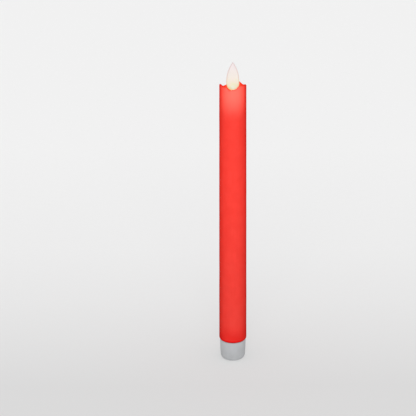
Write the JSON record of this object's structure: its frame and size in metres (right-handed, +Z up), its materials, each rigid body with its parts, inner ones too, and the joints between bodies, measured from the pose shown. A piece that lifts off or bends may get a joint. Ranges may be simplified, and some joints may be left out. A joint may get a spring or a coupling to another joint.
{
  "type": "flameless led taper candle",
  "caption": "Slim real-wax LED taper candle with a swinging flame blade over a melted rim and a screw-on battery cap with a slide switch.",
  "frame": {"origin": "centre of the base cap's underside, on the surface that the candle stands on", "axes": "+Z up along the candle to the flame's tip, -Y the front, where the melted rim dips and the flame's broad face looks, +X to the right seen from the front"},
  "size_m": [0.022, 0.022, 0.2531],
  "materials": {
    "wax": "satin",
    "casing": "satin",
    "screw_steel": "satin",
    "collar": "satin",
    "contact_steel": "polished",
    "black_plastic": "satin",
    "copper_wire": "satin",
    "led_lens": "gloss",
    "flame": "satin",
    "magnet": "polished",
    "circuit_board": "satin",
    "capacitor_sleeve": "gloss",
    "red_insulation": "satin",
    "black_insulation": "satin",
    "cell_jacket": "satin",
    "cap": "satin"
  },
  "bodies": {
    "candle": {"wax_sleeve": "wax", "battery_tube": "casing", "tube_coupler": "casing", "head_shell_front": "casing", "head_shell_rear": "casing", "shell_screw_lower": "screw_steel", "shell_screw_upper": "screw_steel", "wick_collar": "collar", "mechanism_frame": "casing", "pivot_wire": "contact_steel", "coil_bobbin": "black_plastic", "coil_winding": "copper_wire", "flame_led": "led_lens", "control_board": "circuit_board", "controller_chip": "black_plastic", "coil_transistor": "black_plastic", "ir_receiver": "black_plastic", "capacitor": "capacitor_sleeve", "timer_crystal": "contact_steel", "positive_contact": "contact_steel", "negative_strip": "contact_steel", "positive_wire": "red_insulation", "negative_wire": "black_insulation", "led_wire_positive": "red_insulation", "led_wire_negative": "black_insulation", "coil_wire_start": "copper_wire", "coil_wire_end": "copper_wire"},
    "flame": {"flame_blade": "flame", "flame_magnet": "magnet"},
    "cells": {"battery_lower": "cell_jacket", "battery_upper": "cell_jacket"},
    "cap": {"base_cap": "cap", "cap_board": "circuit_board", "contact_ring": "contact_steel", "cap_spring": "contact_steel", "switch_body": "contact_steel"},
    "switch": {"switch_slider": "black_plastic"}
  },
  "joints": [
    {"name": "flame_swing", "type": "hinge", "parent": "candle", "child": "flame", "pos_m": [0, 0, 0.2222], "axis": [0, 1, 0], "range_deg": [-10, 10]},
    {"name": "cap_twist", "type": "hinge", "parent": "cells", "child": "cap", "pos_m": [0, 0, 0], "axis": [0, 0, -1], "range_deg": [0, 720]},
    {"name": "cap_lead", "type": "slide", "parent": "candle", "child": "cells", "axis": [0, 0, -1], "range_m": [0, 0.008]},
    {"name": "switch_slide", "type": "slide", "parent": "cap", "child": "switch", "axis": [1, 0, 0], "range_m": [0, 0.002]}
  ],
  "couplings": [
    {"joint": "cap_twist", "follows": "cap_lead", "rad_per_m": 1570.8}
  ]
}
